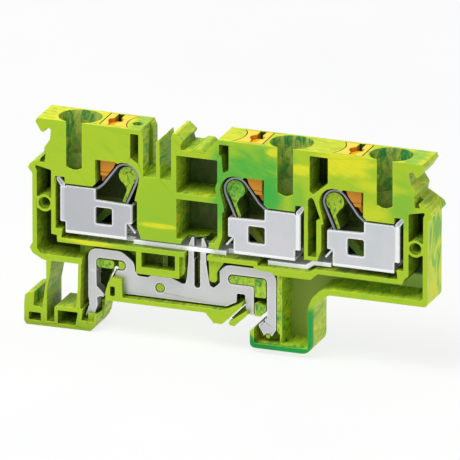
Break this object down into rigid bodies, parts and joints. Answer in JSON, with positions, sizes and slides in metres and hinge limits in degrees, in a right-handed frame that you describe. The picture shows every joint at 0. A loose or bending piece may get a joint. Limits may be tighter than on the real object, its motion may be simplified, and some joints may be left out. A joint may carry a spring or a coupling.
{
  "type": "din rail terminal block",
  "caption": "Rail-mounted earth terminal block, open on one side, with push-in spring clamps, release buttons, a staked rail contact and a clip-on foot.",
  "frame": {"origin": "middle of the 35 mm rail, on the plane where the block's underside rests on the rail's face, half-way through the block's thickness", "axes": "+X along the block towards its two-conductor end, +Y towards the closed back, +Z away from the rail"},
  "size_m": [0.0847, 0.0082, 0.0433],
  "materials": {
    "housing_plastic": "moulded polyamide, marbled green and yellow, satin gloss",
    "plated_metal": "tin-plated copper, matt with bright sheared edges",
    "cage_metal": "tin-plated folded sheet, matt",
    "spring_steel": "stainless spring strip, smooth",
    "button_plastic": "moulded orange plastic"
  },
  "bodies": {
    "root": {"housing": "housing_plastic", "latch_flexure": "housing_plastic", "rail_contact": "plated_metal", "rail_contact_leg": "plated_metal", "current_bar": "plated_metal", "link_bar": "plated_metal", "cage_left": "cage_metal", "cage_middle": "cage_metal", "cage_right": "cage_metal", "spring_left": "spring_steel", "spring_middle": "spring_steel", "spring_right": "spring_steel"},
    "latch": {"latch_foot": "housing_plastic"},
    "release_left": {"button_left": "button_plastic"},
    "release_middle": {"button_middle": "button_plastic"},
    "release_right": {"button_right": "button_plastic"}
  },
  "joints": [
    {"name": "latch_pull", "type": "slide", "parent": "root", "child": "latch", "axis": [-1, 0, 0], "range_m": [0, 0.0015], "stiffness_N_per_m": 6000, "deforming": ["latch_flexure", "rail_contact_leg"]},
    {"name": "press_left", "type": "slide", "parent": "root", "child": "release_left", "axis": [0, 0, -1], "range_m": [0, 0.002], "stiffness_N_per_m": 4000, "springref_m": -0.0005, "deforming": ["spring_left"]},
    {"name": "press_middle", "type": "slide", "parent": "root", "child": "release_middle", "axis": [0, 0, -1], "range_m": [0, 0.002], "stiffness_N_per_m": 4000, "springref_m": -0.0005, "deforming": ["spring_middle"]},
    {"name": "press_right", "type": "slide", "parent": "root", "child": "release_right", "axis": [0, 0, -1], "range_m": [0, 0.002], "stiffness_N_per_m": 4000, "springref_m": -0.0005, "deforming": ["spring_right"]}
  ]
}
